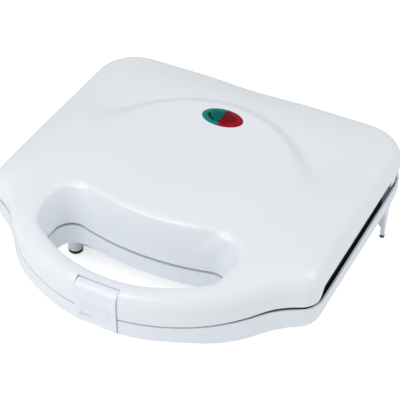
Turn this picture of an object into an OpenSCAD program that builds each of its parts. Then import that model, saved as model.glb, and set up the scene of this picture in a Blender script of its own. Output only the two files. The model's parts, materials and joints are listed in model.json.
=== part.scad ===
// Sandwich toaster with a hinged lid, two black cooking plates and a handle with a latch.
// Millimetres. +Z is up, +Y is the hinge side, -Y is the handle side. The feet stand on z = 0,
// and x = y = 0 is the middle of the closed toaster's outline.

/* [Overall] */
// Width across both sides
body_w = 230; // [215:1:250]
// Depth from the handle's front to the hinge side
body_d = 226.6; // [220:0.2:236]
// Height of the parting plane between base and lid above the table
parting_h = 45; // [43:0.5:50]
// Wall of both moulded housings
wall = 2.5; // [2:0.1:3]

/* [Outline] */
// Radius of the handle's front arc
handle_r = 110.3; // [108:0.1:113]
// Distance from the hinge side to the centre of the front corner's arc
shoulder_back = 154.3; // [150:0.1:158]
// Radius of the front corners
front_corner_r = 15; // [12:0.5:18]
// Radius of the hollow curve between handle and front corner
neck_r = 50; // [40:0.5:60]
// Radius of the rear corners
rear_corner_r = 30; // [24:0.5:32]
// Depth of the shallow dip in the middle of the hinge side
rear_dip = 2.5; // [0:0.1:4]

/* [Lid] */
// Height of the lid's shoulder above the parting plane
lid_edge = 20.6; // [19:0.1:24]
// Radius that rounds the lid's shoulder
lid_round = 8; // [6:0.25:9]
// Height of the side walls' lower edge above the parting plane
side_gap_top = 9.4; // [8.8:0.1:11]
// Radius of the raised disc
disc_r = 80.5; // [76:0.5:84]
// Step at the rear of the raised disc
disc_step = 3; // [1:0.1:4]
// Height of the disc's rear rim above the parting plane
disc_top = 34.4; // [32:0.2:38]
// Height of the disc's rim at the two sides above the parting plane
disc_side = 28.4; // [26:0.2:31]

/* [Finger opening] */
// Width of the handle's bar, in front of the opening
bar_w = 13.8; // [12:0.1:16]
// Radius of the rounded ends of the opening
grip_end_r = 12; // [10:0.5:13]
// Half the distance between the centres of the rounded ends
grip_half = 48.5; // [44:0.5:50]
// Radius of the rounded ends of the scoop round the opening, at the top
scoop_end_r = 17; // [15:0.5:19]

/* [Base] */
// Depth of the lower handle's middle below the parting plane
handle_depth = 12.5; // [12:0.1:14]
// Depth of the base's rim below the parting plane, at the two ends of the handle
rim_depth = 16.5; // [15.5:0.25:18]
// Depth of the base's rim below the parting plane along the sides
side_depth = 13; // [12:0.1:14]
// Height of the side rims' top below the parting plane
side_gap_bottom = 2.2; // [2:0.1:4]
// Height of the bowl's underside above the table
bowl_z = 10; // [8:0.25:12]
// Diameter of the front foot posts
post_d = 10; // [9:0.5:13]
// Thickness of the front rubber pads
pad_h = 3; // [2:0.25:4]
// Thickness of the rear legs' blades
leg_t = 2.5; // [2:0.25:3]

/* [Cooking plates] */
// Space between the plates' faces when shut
plate_gap = 0.8; // [0.6:0.1:1.2]
// Thickness of the cooking plates
plate_t = 3; // [2.5:0.25:3.5]
// Height of the plates' outer skirts
skirt_h = 8; // [7:0.1:8.2]
// Depth of the sandwich pockets
pocket_h = 10.5; // [8:0.5:11]
// Thickness of the pockets' walls
pocket_wall = 2.4; // [2:0.1:3]
// Width of the ridges round and between the pockets
ridge_w = 7; // [6:0.5:9]
// Diameter of the heating elements
heater_d = 6.6; // [6:0.1:7]

/* [Hinge] */
// Radius of the base's hinge barrel
barrel_r = 7.5; // [7:0.1:8]
// Height of the hinge axis above the parting plane
axis_up = 1; // [0.5:0.1:1.5]
// Distance of each hinge from its side
hinge_in = 43; // [39:0.5:49]
// Width of each hinge arm
arm_w = 10; // [8:0.5:12]
// Diameter of the hinge pins
pin_d = 4; // [3.5:0.1:4.5]
// Radial clearance of the hinge arm on its pin
pin_play = 0.06; // [0.03:0.01:0.1]

/* [Latch] */
// Width of the latch clip
clip_w = 28.4; // [24:0.2:32]
// Radius of the clip's rolled top
clip_r = 6; // [5.5:0.1:6.2]
// Thickness of the clip's front leg
clip_t = 3; // [2.5:0.1:3.2]
// Diameter of the latch pin
latch_pin_d = 2.5; // [2:0.1:3]

/* [Window] */
// Length of the oval window
lens_w = 27.6; // [24:0.2:30]
// Depth of the oval window
lens_d = 17; // [15:0.2:18]
// Distance of the window's centre from the hinge side
lens_back = 59.9; // [58:0.1:62]

/* [Hidden] */
$fn = 48;

// Clearances
slide = 0.4;        // between a moving piece and the slot it runs in
seat = 0.2;         // between a piece and the face it rests on
split = 0.4;        // half the thin gap between lid and base at the handle
over = 1;           // how far a cutting tool passes the face it cuts

// The outline's fixed points
hp = parting_h;
xr = body_w / 2;
yr = body_d / 2;
yc = handle_r - yr;                                   // centre of the handle's arc
sx = xr - front_corner_r;                             // centre of the front corner's arc
sy = yr - shoulder_back;
neck_to_handle = handle_r + neck_r;
neck_to_corner = front_corner_r + neck_r;
corner_dir = [sx, sy - yc] / norm([sx, sy - yc]);
corner_far = norm([sx, sy - yc]);
neck_along = (neck_to_handle ^ 2 - neck_to_corner ^ 2 + corner_far ^ 2) / (2 * corner_far);
neck_aside = sqrt(neck_to_handle ^ 2 - neck_along ^ 2);
nx = neck_along * corner_dir.x + neck_aside * corner_dir.y;
ny = yc + neck_along * corner_dir.y - neck_aside * corner_dir.x;
handle_end = atan2(ny - yc, nx);
neck_end = atan2(sy - ny, sx - nx);
dip_half = 48;
gap_start = sy - 5;                                   // where the side gap opens, behind the corner
gap_run = 9;

// The hinge
ay = yr - barrel_r;
hinge_x = xr - hinge_in;
az = hp + axis_up;
block_front = ay - 29;                                // front face of the base's hinge block
block_top = az + barrel_r;
foot_x = xr - 48;                                     // middle of each front foot
foot_y = sy + 10.5;
leg_x = xr - 2.6;                                     // outer face of the rear legs
block_in = 1.5;                                       // the block stands in from the outline
lip_t = 1.2;                                          // thickness of the rim's upper lip
knuckle_r = 6;
slot_w = arm_w + 2 * slide;
slot_x0 = hinge_x - slot_w / 2;                        // the slot's side nearer the middle
bracket_t = 6;                                        // each cheek of a hinge bracket
lead_x = hinge_x - 30;                                       // the lid's leads leave the barrel here
lead_d = 3;
lead_slot = 4;

// The disc on the lid
dy = yr - 122.5;
disc_mid = 33;
grip_r = handle_r - bar_w;
grip_y = (2 * yc + sy) / 3 - 46.83;                   // centres of the finger opening's round ends
disc_blend = 3;                                       // half the width of the step's soft edge
crown_power = 1.8;

// The plates
plate_x = xr - 3.5;
plate_front = gap_start + 0.5;
plate_rear = block_front - 0.8;
pocket_corner_r = 11;
pocket_draft = 4;                                     // how far a pocket's walls lean in
pocket_x1 = plate_x - ridge_w;
pocket_y0 = plate_front + ridge_w;
pocket_y1 = plate_rear - ridge_w;
screw_y = [pocket_y0 + 12, pocket_y0 + 60];
boss_d = 9;
screw_d = 3;
heater_y = [pocket_y0 + 34.5, pocket_y0 + 84.5];
mid_y = (heater_y[0] + heater_y[1]) / 2;
heater_x = xr - 43;
sensor_x = heater_x - 20;                             // thermostat on the left, thermal fuse on the right
heater_drop = plate_gap / 2 + pocket_h + pocket_wall + seat + heater_d / 2;   // below the parting plane
clip_y0 = heater_y[0] - 8;
clip_y1 = heater_y[1] + 8;
strip_t = 1;
strip_x = heater_x / 2;                                       // middle of each saddle strip
plate_under = hp - plate_gap / 2 - pocket_h - pocket_wall;   // underside of the pockets
reflector_drop = heater_drop + heater_d / 2 + strip_t + 2 * seat;
ledge_y = [plate_front + 16, plate_rear - 16];
reflector_t = 0.6;
reflector_x = xr - 31;
reflector_y = [pocket_y0 + 4.5, pocket_y1 - 3];
terminal = [-30, plate_rear + 10];                                // middle of the terminal block
wire_d = 2;

// The cord's bushing, low in the middle of the back
gland_d = 12;
cord_hole_d = 8.2;
gland_y = yr - 6;
gland_z = bowl_z + 11.5;

// The window
ly = yr - lens_back;
lens_fit = 0.15;
lens_skirt = 5;
lamp_d = 4.4;
lamp_z = hp + lid_height([0, ly]) - lens_skirt - 0.3 - lamp_d / 2;

// The latch
py = clip_r - yr;                                     // the clip's front is flush with the handle's
pz = hp + lid_edge - 2 - clip_r;
clip_front = py - clip_r;
catch_y = clip_front + clip_t + slide;                // front face of the catch block
nose_top = hp - 7.5;
nose_h = 2.5;
nose_l = 2.3;
cheek_w = 4;

// ---- Shapes shared by many pieces ----

// Points along a round stretch, from angle a0 to a1
function arc(x, y, r, a0, a1, n) =
    [for (i = [0:n]) let (a = a0 + (a1 - a0) * i / n) [x + r * cos(a), y + r * sin(a)]];

// A half outline on +X, from the front middle to the rear middle, made whole by its mirror image
function both_sides(half) =
    concat(half, [for (i = [len(half) - 2:-1:1]) [-half[i].x, half[i].y]]);

function ramp(v) = let (t = max(0, min(1, v))) t * t * (3 - 2 * t);
function mix(a, b, t) = a + (b - a) * t;

// The toaster's outline, moved in by d
function rear_edge(x) = yr - rear_dip * (abs(x) < dip_half ? (1 + cos(180 * x / dip_half)) / 2 : 0);
function outline(d) = both_sides(concat(
    arc(0, yc, handle_r - d, -90, handle_end, 12),
    arc(nx, ny, neck_r + d, handle_end + 180, neck_end, 4),
    arc(sx, sy, front_corner_r - d, neck_end - 180, 0, 4),
    [for (t = [0.04, 0.35, 0.68]) [xr - d, mix(sy, yr - rear_corner_r, t)]],
    arc(xr - rear_corner_r, yr - rear_corner_r, rear_corner_r - d, 0, 90, 6),
    [for (i = [1:8]) let (x = (xr - rear_corner_r) * (1 - i / 8)) [x, rear_edge(x) - d]]));

// The finger opening's outline, or the scoop's with other radii, grown by d
function banana(front_r, low_r, low_a, end_r, end_x, end_y, bow_r, d) =
    let (low = [cos(low_a), sin(low_a)] * (front_r - low_r) + [0, yc])
    let (up = [end_x, end_y])
    let (lean = atan2(up.y - low.y, up.x - low.x))
    let (flat = lean - acos((low_r - end_r) / norm(up - low)))
    let (bow_y = end_y + sqrt((bow_r + end_r) ^ 2 - end_x ^ 2))
    let (bow_a = atan2(end_y - bow_y, end_x))
    both_sides(concat(
        arc(0, yc, front_r + d, -90, low_a, 8),
        arc(low.x, low.y, low_r + d, low_a, flat, 4),
        arc(up.x, up.y, end_r + d, flat, bow_a + 180, 7),
        arc(0, bow_y, bow_r - d, bow_a, -90, 8)));
function grip(d) = banana(grip_r, 9, -54, grip_end_r, grip_half, grip_y, 173, d);
function scoop_top(d) = banana(grip_r + 2, 14, -50.5, scoop_end_r, grip_half - 2.5, grip_y - 1, 150, d);

// Height of the lid's top above the parting plane, before any rounding
function disc_rim(a) = sin(a) > 0 ? disc_side + (disc_top - disc_side) * sin(a) ^ 2
    : disc_side + (lid_edge - disc_side) * sin(a) ^ 2;
function step_at(a) = disc_step * ramp((sin(a) - 0.05) / 0.6);
function lid_height(p) =
    let (v = [p.x, p.y - dy])
    let (a = atan2(v.y, v.x))
    let (s = norm(v) / disc_r)
    s < 1 ? mix(disc_mid, disc_rim(a), s * s)
    : mix(disc_rim(a) - step_at(a), lid_edge, ramp((s - 1) / 0.2));

// The height of the parting edge: low and high where the gap is thin and where the side gap is open
function edge_at(p, thin, open) = mix(thin, open, ramp((p.y - gap_start) / gap_run));

// A closed solid through rings of points, listed upwards, each with as many points as the first
module loft(rings) {
    n = len(rings[0]);
    top = len(rings) - 1;
    points = concat([for (r = rings) each r], [centre(rings[0]), centre(rings[top])]);
    low_cap = [for (i = [0:n - 1]) [n * (top + 1), i, (i + 1) % n]];
    high_cap = [for (i = [0:n - 1]) [n * (top + 1) + 1, n * top + (i + 1) % n, n * top + i]];
    sides = [for (k = [0:top - 1], i = [0:n - 1])
        let (a = k * n + i, b = k * n + (i + 1) % n)
        each [[a, a + n, b + n], [a, b + n, b]]];
    polyhedron(points, concat(low_cap, sides, high_cap), convexity = 10);
}
function centre(ring) = [for (k = [0:2]) [for (p = ring) p[k]] * [for (p = ring) 1] / len(ring)];
function lift(ring, z) = [for (p = ring) [p.x, p.y, z]];

// A rounded rectangle from [x0, y0] to [x1, y1]
function rounded(x0, y0, x1, y1, r, n = 4) = concat(
    arc(x1 - r, y0 + r, r, -90, 0, n), arc(x1 - r, y1 - r, r, 0, 90, n),
    arc(x0 + r, y1 - r, r, 90, 180, n), arc(x0 + r, y0 + r, r, 180, 270, n));

module slab(points, z0, z1) {
    translate([0, 0, z0])
        linear_extrude(z1 - z0)
            polygon(points);
}
module bar_x(x0, x1, y, z, d) {
    translate([x0, y, z])
        rotate([0, 90, 0])
            cylinder(h = x1 - x0, d = d);
}
module bar_y(x, y0, y1, z, d) {
    translate([x, y0, z])
        rotate([-90, 0, 0])
            cylinder(h = y1 - y0, d = d);
}
module post(x, y, z0, z1, d) {
    translate([x, y, z0])
        cylinder(h = z1 - z0, d = d);
}
module block(x0, x1, y0, y1, z0, z1) {
    translate([x0, y0, z0])
        cube([x1 - x0, y1 - y0, z1 - z0]);
}
// A tube swept along points, with eight flat sides
module tube(path, d) {
    n = len(path) - 1;
    function way(i) = let (v = path[min(i + 1, n)] - path[max(i - 1, 0)]) v / norm(v);
    function across(v) = let (u = abs(v.z) < 0.9 ? cross(v, [0, 0, 1]) : cross(v, [0, 1, 0])) u / norm(u);
    loft([for (i = [0:n])
        let (v = way(i), u = across(v), w = cross(v, u))
        [for (k = [0:7]) path[i] + d / 2 * (cos(45 * k) * u + sin(45 * k) * w)]]);
}
// Mirrors its children to both sides
module pair() {
    children();
    mirror([1, 0, 0])
        children();
}
// Turns its children over the parting plane, from the base to the lid
module to_lid() {
    translate([0, 0, 2 * hp])
        mirror([0, 0, 1])
            children();
}

// ---- The lid ----

// The lid's outer form moved in by d, closed below at z0 (or at the parting edge where z0 is undef).
// The crown rises from the outline to the disc and is added to the shoulder's quarter circle.
module lid_form(d, z0 = undef) {
    r = lid_round - d;
    hub = [0, dy];
    far = [for (p = outline(0)) norm(p - hub)];
    way_round = [for (p = outline(lid_round)) let (v = p - hub) atan2(v.y, v.x)];
    function rise(i, p) =
        let (way = (far[i] - norm(p - hub)) / (far[i] - disc_r - disc_blend), a = way_round[i])
        (disc_rim(a) - step_at(a) - lid_edge) * (1 - (1 - min(1, max(0, way))) ^ crown_power);
    function dome(ring, z) = [for (i = [0:len(ring) - 1]) [ring[i].x, ring[i].y, z + rise(i, ring[i])]];
    function disc_ring(out) = [for (a = way_round) [out * cos(a), dy + out * sin(a)]];
    foot = [for (p = outline(d)) [p.x, p.y,
        is_undef(z0) ? hp + edge_at(p, split, side_gap_top) : z0]];
    shoulder = [for (a = d < wall ? [0, 30, 60, 90] : [0, 45, 90])
        dome(outline(d + r * (1 - cos(a))), hp + lid_edge - lid_round + r * sin(a))];
    brow = outline(lid_round);
    foot_of_disc = disc_ring(disc_r + disc_blend);
    outer = [for (t = d < wall ? [0.3, 0.65, 1] : [0.5, 1])
        dome([for (i = [0:len(brow) - 1]) mix(brow[i], foot_of_disc[i], t)], hp + lid_edge - d)];
    inner = [for (s = [1 - disc_blend / disc_r, 0.8, 0.5, 0.2])
        let (ring = disc_ring(s * disc_r))
        [for (i = [0:len(ring) - 1])
            [ring[i].x, ring[i].y, hp - d + mix(disc_mid, disc_rim(way_round[i]), s * s)]]];
    loft(concat([foot], shoulder, outer, inner));
}

// The scoop and its opening as a cutting tool, grown by d
module scoop(d) {
    low = grip(d);
    high = scoop_top(d);
    // how far out and how far up each ring of the scoop's wall is, from the opening to the top
    wall_curve = [[0, 0.1], [0.07, 0.3], [0.22, 0.5], [0.48, 0.7], [0.75, 0.86], [0.93, 0.96], [1.08, 1.1]];
    loft(concat(
        [lift(low, -over)],
        [for (c = wall_curve)
            [for (i = [0:len(low) - 1])
                let (p = mix(low[i], high[i], c[0]))
                [p.x, p.y, hp - 0.6 * d + lid_height(high[i]) * c[1]]]],
        [lift([for (i = [0:len(low) - 1]) mix(low[i], high[i], 1.12)], hp + disc_top + over)]));
}

module window(d, z0, z1) {
    slab([for (a = [0:10:350]) [(lens_w / 2 + d) * cos(a), ly + (lens_d / 2 + d) * sin(a)]], z0, z1);
}

module latch_notch(gap) {
    half = clip_w / 2 + gap;
    block(-half, half, -yr - over - clip_r, py - 0.1, hp - rim_depth - over, hp + lid_edge + 2 * over);
    bar_x(-half, half, py, pz, 2 * (clip_r + gap));
}

module lid_shell() color("whitesmoke") {
    half = clip_w / 2 + slide;
    difference() {
        union() {
            difference() {
                lid_form(0);
                difference() {
                    lid_form(wall, hp - 2 * over);
                    scoop(wall);
                }
            }
            // cheeks that hold the latch pin
            intersection() {
                lid_form(0.3);
                pair()
                    block(half - over, half + cheek_w, -yr, py + clip_r + slide + wall, hp + split, hp + 40);
            }
            // ledges over the plate's skirt
            pair()
                for (y = ledge_y)
                    block(xr - 9, xr - wall / 2, y - 3, y + 3, hp + plate_gap / 2 + skirt_h + seat,
                        hp + lid_edge - 3);
            // wall behind the latch
            block(-half - over, half + over, py + clip_r + slide, py + clip_r + slide + wall,
                hp + split, hp + lid_edge - 1.5);
            // bosses for the plate screws and the hinge arms
            intersection() {
                lid_form(0.5);
                union() {
                    for (y = screw_y)
                        post(0, y, hp + plate_gap / 2 + plate_t + seat, hp + 50, boss_d);
                    pair()
                        post(hinge_x, block_front + 12, hp + 14.4, hp + 50, boss_d);
                }
            }
        }
        scoop(0);
        latch_notch(slide);
        window(lens_fit, hp + 20, hp + 50);
        bar_x(-half - cheek_w + 1, half + cheek_w - 1, py, pz, latch_pin_d);
        for (y = screw_y)
            post(0, y, hp, hp + 18, screw_d - 0.2);
        pair()
            post(hinge_x, block_front + 12, hp + 14, hp + lid_edge, screw_d - 0.2);
    }
}

// ---- The base ----

// The base's outline stands in at the back, so that the lid's rear wall can swing past it
function base_outline(d) = [for (p = outline(d)) [p.x, min(p.y, rear_edge(p.x) - block_in - 0.3 - d)]];
function depth_at(p) = mix(mix(handle_depth, rim_depth, ramp((abs(p.x) - 45) / 35)), side_depth,
    ramp((p.y - sy + 27) / 32));
module base_slab(d) {
    function low(ring, up) = [for (p = ring) [p.x, p.y, hp - depth_at(p) + d + up]];
    function high(ring, up) = [for (p = ring) [p.x, p.y, hp - edge_at(p, split, side_gap_bottom) + up]];
    // the underside, level in the middle and following the rim's depth near the rim
    floor = [for (t = [0.45, 0.8])
        [for (p = base_outline(d + 1.2))
            [p.x * t, p.y * t, hp - mix(side_depth, depth_at(p), ramp((t - 0.45) / 0.3)) + d]]];
    sides = [low(base_outline(d + 1.2), 0), low(base_outline(d + 0.4), 0.4), low(base_outline(d), 1.2)];
    // a cutting tool leaves only a thin lip at the rim's top
    loft(concat(floor, sides, d > 0 ? [high(base_outline(d), -3), high(base_outline(lip_t), -1.7),
        high(base_outline(lip_t), 3)] : [high(base_outline(0), 0)]));
}
module bowl(d) {
    half = xr - 25;
    function ring(k, z) = lift(rounded(-half - k + d, plate_front + 13 - 0.8 * k + d,
        half + k - d, yr - 12 + k * 0.3 - d, 18 + 0.2 * k - d), z);
    loft([ring(0, bowl_z + d), ring(2, bowl_z + 0.8 + d), ring(18, hp - side_depth + d),
        ring(18, hp - side_depth + wall - 1 + 2 * d)]);
}
// The raised hinge block across the back, moved in by d
module hinge_block(d) {
    inset = block_in + d;
    intersection() {
        slab(outline(inset), hp - side_depth + 4 + d, block_top + over);
        translate([-xr, 0, 0])
            rotate([90, 0, 90])
                linear_extrude(body_w)
                    union() {
                        translate([ay, az])
                            circle(r = barrel_r - d);
                        polygon([[block_front + d, hp - rim_depth - d], [block_front + d, block_top - d],
                            [ay, block_top - d], [ay, az], [yr - inset, az],
                            [yr - inset, hp - rim_depth - d]]);
                    }
    }
}
// A leg's blade and the rib behind it, narrowing to the foot
module rear_leg() {
    translate([leg_x, 0, 0])
        rotate([90, 0, -90])
            linear_extrude(leg_t)
                polygon([[-block_front + 2, hp - side_depth + 1.5], [-block_front - 9, hp - side_depth + 1.5],
                    [-block_front - 3, pad_h - 1], [-block_front - 0.5, pad_h - 1]]);
    translate([0, block_front + leg_t + 0.5, 0])
        rotate([90, 0, 0])
            linear_extrude(leg_t)
                polygon([[leg_x - leg_t + 0.5, 3 * pad_h], [leg_x - leg_t + 0.5, hp - side_depth + 1.5],
                    [leg_x - 18, hp - side_depth + 1.5], [leg_x - leg_t - 1, 3 * pad_h]]);
}
module vents() {
    for (side = [-1, 1], i = [0:5])
        block(side * 42 - 14, side * 42 + 14, mid_y - 19 + 9 * i, mid_y - 16 + 9 * i, bowl_z - over,
            bowl_z + wall + over);
}
module hinge_slots(x0, x1, back) {
    block(x0, x1, ay - back, yr + over, az - knuckle_r - 1.5, block_top + over);
}
module base_shell() color("aliceblue") {
    half = clip_w / 2 + slide;
    difference() {
        union() {
            difference() {
                union() {
                    base_slab(0);
                    bowl(0);
                    hinge_block(0);
                }
                difference() {
                    union() {
                        base_slab(wall);
                        bowl(wall);
                        hinge_block(wall);
                    }
                    slab(grip(wall), 0, hp + over);
                }
                hinge_slots_all();
            }
            // catch block for the latch
            block(-half - wall, half + wall, catch_y, catch_y + 5.5, hp - handle_depth + 1, hp - split);
            // bosses for the plate screws
            for (y = screw_y)
                post(0, y, bowl_z + 1, hp - plate_gap / 2 - plate_t - seat, boss_d);
            // shelves under the hinge brackets
            pair()
                block(hinge_x - 19, hinge_x + 19, ay - 22, yr - 3, hp - side_depth + 1, az - knuckle_r - 3.2);
            // ledges under the plate's skirt
            pair()
                for (y = ledge_y)
                    block(xr - 9, xr - wall / 2, y - 3, y + 3, hp - side_depth + 1,
                        hp - plate_gap / 2 - skirt_h - seat);
            // posts of the front feet
            pair()
                post(foot_x, foot_y, pad_h + seat, bowl_z + 2, post_d);
            pair()
                rear_leg();
            // collar round the cord's bushing
            bar_y(0, gland_y - 7, gland_y, gland_z, gland_d + 5);
        }
        slab(grip(0), 0, hp + over);
        // recess for the clip's leg and its nose under the catch
        block(-half, half, -yr - over, catch_y, 0, hp + over);
        block(-half, half, -yr - over, catch_y + nose_l, 0, nose_top + 0.5);
        for (y = screw_y)
            post(0, y, hp - 20, hp, screw_d - 0.2);
        pair()
            for (x = [-14.5, 14.5])
                post(hinge_x + x, ay - 16, hp - rim_depth - over, hp, screw_d - 0.2);
        // hole of the cord's bushing
        bar_y(0, gland_y - 20, gland_y + over, gland_z, gland_d);
        vents();
    }
}
module hinge_slots_all() {
    pair()
        hinge_slots(slot_x0 - bracket_t - 0.6, slot_x0 + slot_w + bracket_t + 0.6, 9);
    hinge_slots(lead_x - lead_slot, lead_x + lead_slot, 6);
}
module cord_gland() color("gainsboro") {
    back = gland_y - wall - 4;
    difference() {
        union() {
            bar_y(0, back, gland_y + seat, gland_z, gland_d - 0.1);
            bar_y(0, gland_y + seat - 0.05, gland_y + 2.2, gland_z, gland_d + 2.4);
        }
        bar_y(0, back - over, gland_y + 4, gland_z, cord_hole_d);
    }
}

module front_feet() color("black") {
    pair()
        translate([foot_x, foot_y, 0])
            rotate_extrude()
                polygon([[0, 0], [post_d / 2 - 0.8, 0], [post_d / 2, 0.9],
                    [post_d / 2, pad_h], [0, pad_h]]);
}
module rear_feet() color("lightgray") {
    pair()
        slab(rounded(leg_x - leg_t - 0.3, block_front + 0.2, leg_x + 0.3, block_front + 3.3, 1), 0, pad_h - 1);
}

// ---- Cooking plates and heating, made for the base; the lid's are turned over ----

// The corners of one triangular pocket: side -1 or 1, and which half of the square, 0 or 1
function pocket_corners(half) =
    let (x0 = ridge_w * 0.9, x1 = pocket_x1, y0 = pocket_y0, y1 = pocket_y1, g = ridge_w * 0.75)
    half == 0 ? [[x0, y0], [x1 - g, y0], [x0, y1 - g]] : [[x1, y0 + g], [x1, y1], [x0 + g, y1]];
// A triangle with round corners, moved in by d
function soft_triangle(c, r, d) = [for (i = [0:2])
    let (into = c[i] - c[(i + 2) % 3], out = c[(i + 1) % 3] - c[i])
    let (start = atan2(-into.x, into.y))
    let (turn = acos((into * out) / (norm(into) * norm(out))))
    let (m = out / norm(out) - into / norm(into))
    let (mid = c[i] + m / norm(m) * r / cos(turn / 2))
    each arc(mid.x, mid.y, r - d, start, start + turn, 5)];
function pocket_plan(half, d) = soft_triangle(pocket_corners(half), pocket_corner_r, d);
module pockets(d) {
    top = hp - plate_gap / 2;
    for (half = [0, 1])
        pair()
            loft([
                lift(pocket_plan(half, pocket_draft + 2 - d), top - pocket_h - d),
                lift(pocket_plan(half, pocket_draft - d), top - pocket_h + 0.8 - d),
                lift(pocket_plan(half, -d), top + (d > 0 ? -1 : 0.5))]);
}
module cooking_plate() {
    top = hp - plate_gap / 2;
    difference() {
        union() {
            slab(rounded(-plate_x, plate_front, plate_x, plate_rear, 10), top - plate_t, top);
            difference() {
                slab(rounded(-plate_x, plate_front, plate_x, plate_rear, 10), top - skirt_h, top - 0.5);
                slab(rounded(-plate_x + 2, plate_front + 2, plate_x - 2, plate_rear - 2, 8), 0, top);
            }
            pockets(pocket_wall);
        }
        pockets(0);
        for (y = screw_y) {
            post(0, y, top - 10, top + over, screw_d + 0.6);
            translate([0, y, top - 1.6])
                cylinder(h = 1.7, d1 = screw_d + 0.6, d2 = 7);
        }
    }
}
module heater() {
    z = hp - heater_drop;
    mid = (heater_y[0] + heater_y[1]) / 2;
    bend_r = (heater_y[1] - heater_y[0]) / 2;
    for (y = heater_y)
        bar_x(-heater_x + bend_r, heater_x, y, z, heater_d);
    translate([-heater_x + bend_r, mid, z])
        rotate([0, 0, 90])
            rotate_extrude(angle = 180)
                translate([bend_r, 0])
                    circle(d = heater_d);
    for (y = heater_y)
        bar_x(heater_x, heater_x + 6, y, z, 2.4);
}
// Saddle strips that press the heating element up to the plate, one in each half
module heater_strips() {
    z = hp - heater_drop - heater_d / 2 - seat;
    pair() {
        block(strip_x - 6, strip_x + 6, clip_y0, clip_y1, z - strip_t, z);
        for (y = [clip_y0, clip_y1 - strip_t])
            block(strip_x - 6, strip_x + 6, y, y + strip_t, z - strip_t, plate_under - seat);
    }
}
module reflector() {
    z = hp - reflector_drop;
    r = 12;
    difference() {
        union() {
            slab(rounded(-reflector_x, reflector_y[0], reflector_x, reflector_y[1], r), z - reflector_t, z);
            difference() {
                slab(rounded(-reflector_x, reflector_y[0], reflector_x, reflector_y[1], r), z - 0.1, z + 5);
                slab(rounded(-reflector_x + reflector_t, reflector_y[0] + reflector_t,
                    reflector_x - reflector_t, reflector_y[1] - reflector_t, r - reflector_t), z - 1, z + 6);
            }
        }
        for (y = screw_y)
            post(0, y, z - 2, z + 2, boss_d + 2);
        post(heater_x + 5, heater_y[1], z - 2, z + 2, 6);
        children();
    }
}
module plate_screws() {
    top = hp - plate_gap / 2;
    for (y = screw_y)
        translate([0, y, top - 0.1]) {
            mirror([0, 0, 1])
                difference() {
                    cylinder(h = 1.6, d1 = 6.6, d2 = screw_d);
                    for (a = [0, 90])
                        rotate([0, 0, a])
                            translate([-2, -0.35, -0.5])
                                cube([4, 0.7, 1.3]);
                }
            mirror([0, 0, 1])
                translate([0, 0, 1.5])
                    cylinder(h = 13, d = screw_d - 0.2);
        }
}

module lower_plate() color("#1c1c1e") cooking_plate();
module upper_plate() color("#1c1c1e") to_lid() cooking_plate();
module lower_heater() color("dimgray") heater();
module upper_heater() color("dimgray") to_lid() heater();
module lower_heater_clips() color("silver") heater_strips();
module upper_heater_clips() color("silver") to_lid() heater_strips();
module lower_reflector() color("gainsboro") reflector() {
    post(-sensor_x, mid_y, hp - reflector_drop - 2, hp - reflector_drop + 2, 20);
    block(sensor_x - 10, sensor_x + 10, mid_y - 5, mid_y + 5, hp - reflector_drop - 2, hp - reflector_drop + 2);
}
module upper_reflector() color("gainsboro") to_lid() reflector();
module lower_plate_screws() color("silver") plate_screws();
module upper_plate_screws() color("silver") to_lid() plate_screws();

module thermostat() color("burlywood") {
    z = plate_under - seat;
    post(-sensor_x, mid_y, z - 5, z, 16);
    post(-sensor_x, mid_y, z - 10, z - 4.9, 12.5);
    for (y = [mid_y - 6, mid_y + 6])
        block(-sensor_x - 2, -sensor_x + 2, y - 0.4, y + 0.4, z - 14, z - 4);
}
module thermal_fuse() color("ivory") {
    z = plate_under - seat;
    bar_x(sensor_x - 8, sensor_x + 8, mid_y, z - 3, 6);
    block(sensor_x - 2, sensor_x + 2, mid_y - 3, mid_y + 3, z - 7, z - 3);
}
module terminal_block() color("white") {
    difference() {
        block(terminal.x - 15, terminal.x + 15, terminal.y - 7, terminal.y + 7,
            bowl_z + wall + seat, bowl_z + wall + 13);
        for (x = [-10, 0, 10]) {
            post(terminal.x + x, terminal.y - 3.5, bowl_z + wall + 6, bowl_z + 30, 4);
            post(terminal.x + x, terminal.y + 3.5, bowl_z + wall + 6, bowl_z + 30, 4);
        }
    }
}
module base_wiring() color("firebrick") {
    z = bowl_z + wall + 6.5;
    y0 = terminal.y - 7.2;
    m = mid_y;
    tube([[terminal.x - 10, y0, z], [terminal.x - 10, y0 - 3, z], [terminal.x - 12, m + 49, z],
        [6 - sensor_x, m + 29, z - 1], [-sensor_x, m + 13, z - 2], [-sensor_x, m + 9, z - 1],
        [-sensor_x, m + 6.7, z - 0.2]], wire_d);
    tube([[terminal.x, y0, z], [terminal.x, y0 - 3, z], [terminal.x + 4, m + 49, z - 1], [0, m + 37, z - 3],
        [30, m + 29, z - 3], [sensor_x - 8, m + 13, z - 3], [sensor_x - 2, m + 4, z - 1],
        [sensor_x, m + 0.5, z + 1.5], [sensor_x, m, plate_under - seat - 7.3]], wire_d);
    tube([[terminal.x + 10, y0, z], [terminal.x + 10, y0 - 3, z], [-12, m + 49, z], [20, m + 45, z - 2],
        [heater_x - 10, m + 39, z - 2], [heater_x + 2, m + 31, z - 1], [heater_x + 5, heater_y[1] + 1.5, z + 2],
        [heater_x + 5, heater_y[1], hp - heater_drop - 1.4]], wire_d);
}

// ---- Hinges ----

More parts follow.
